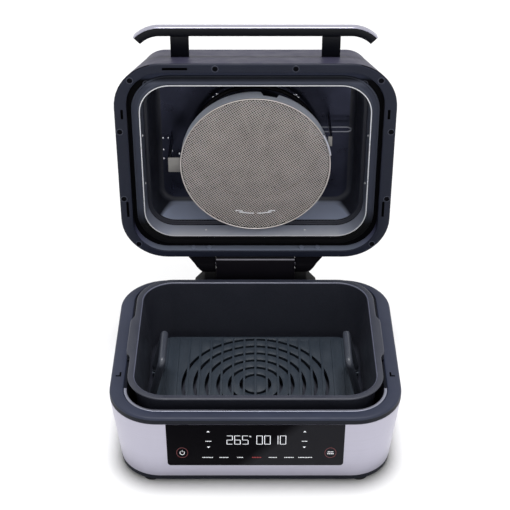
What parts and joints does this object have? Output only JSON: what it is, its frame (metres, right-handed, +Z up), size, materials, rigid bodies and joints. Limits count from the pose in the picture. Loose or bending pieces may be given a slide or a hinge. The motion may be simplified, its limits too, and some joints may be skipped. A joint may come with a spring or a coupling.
{
  "type": "air fryer grill",
  "caption": "Countertop air fryer grill: a steel-wrapped base with touch panel, lift-out pot and ribbed grill plate, and a hinged lid with fan, heater and wire splatter guard.",
  "frame": {"origin": "on the table, under the middle of the base", "axes": "+X to the right, +Y to the back where the hinge is, +Z up; the front with the touch panel faces -Y"},
  "size_m": [0.4, 0.4546, 0.5108],
  "materials": {
    "wrap_steel": "brushed, satin",
    "bezel_plastic": "moulded, satin, fine grain",
    "lid_plastic": "moulded, satin, fine grain",
    "black_plastic": "moulded, matt",
    "foot_rubber": "matt",
    "seal_rubber": "silicone, satin",
    "panel_glass": "black back print, polished",
    "tub_metal": "rolled sheet",
    "lid_metal": "polished sheet",
    "pot_coating": "dark non-stick coat, satin",
    "plate_coating": "dark non-stick coat, satin",
    "bright_steel": "fine brushed",
    "fastener_steel": "plated",
    "guard_steel": "bright wire and sheet",
    "fan_metal": "rolled sheet",
    "element_metal": "oxidised",
    "motor_metal": "laminated",
    "board_green": "circuit board",
    "display_plastic": "moulded",
    "ceramic_white": "pressed ceramic body"
  },
  "bodies": {
    "base": {"base_pan": "black_plastic", "feet": "foot_rubber", "outer_wrap": "wrap_steel", "top_bezel": "bezel_plastic", "cavity_liner": "tub_metal", "control_glass": "panel_glass", "panel_carrier": "black_plastic", "display_module": "display_plastic", "control_board": "board_green", "power_board": "board_green", "lid_sensor": "black_plastic", "hinge_pedestal": "bezel_plastic", "hinge_tower": "black_plastic", "hinge_pin": "bright_steel", "cord_gland": "black_plastic", "base_screws": "fastener_steel"},
    "pot": {"cooking_pot": "pot_coating"},
    "grill": {"grill_plate": "plate_coating", "left_plate_handle": "plate_coating", "right_plate_handle": "plate_coating", "plate_rivets": "fastener_steel"},
    "lid": {"lid_frame": "lid_plastic", "seal_carrier": "lid_plastic", "lid_shell": "lid_plastic", "frame_screws": "fastener_steel", "lid_seal": "seal_rubber", "lid_liner": "lid_metal", "liner_screws": "fastener_steel", "left_hinge_arm": "bezel_plastic", "right_hinge_arm": "bezel_plastic", "arm_screws": "fastener_steel", "handle_bar": "black_plastic", "handle_cover": "bright_steel", "left_handle_post": "lid_plastic", "right_handle_post": "lid_plastic", "handle_screws": "fastener_steel", "heating_element": "element_metal", "element_clips": "fastener_steel", "temperature_probe": "bright_steel", "left_guard_bracket": "guard_steel", "right_guard_bracket": "guard_steel", "motor_bracket": "fastener_steel", "motor": "motor_metal", "thermal_cutout": "ceramic_white"},
    "guard": {"guard_cup": "guard_steel", "guard_mesh": "guard_steel"},
    "fan": {"motor_shaft": "bright_steel", "circulation_fan": "fan_metal", "fan_nut": "fastener_steel", "cooling_fan": "fan_metal"}
  },
  "joints": [
    {"name": "lid_hinge", "type": "hinge", "parent": "base", "child": "lid", "pos_m": [0, 0.18175, 0.1385], "axis": [-1, 0, 0], "range_deg": [-90, 0]},
    {"name": "fan_spin", "type": "hinge", "parent": "lid", "child": "fan", "pos_m": [0, 0.22, 0.31625], "axis": [0, -1, 0], "continuous": true},
    {"name": "guard_pull", "type": "slide", "parent": "lid", "child": "guard", "axis": [0, -1, 0], "range_m": [0, 0.024]},
    {"name": "pot_lift", "type": "slide", "parent": "base", "child": "pot", "axis": [0, 0, 1], "range_m": [0, 0.15]},
    {"name": "plate_lift", "type": "slide", "parent": "pot", "child": "grill", "axis": [0, 0, 1], "range_m": [0, 0.13]}
  ]
}
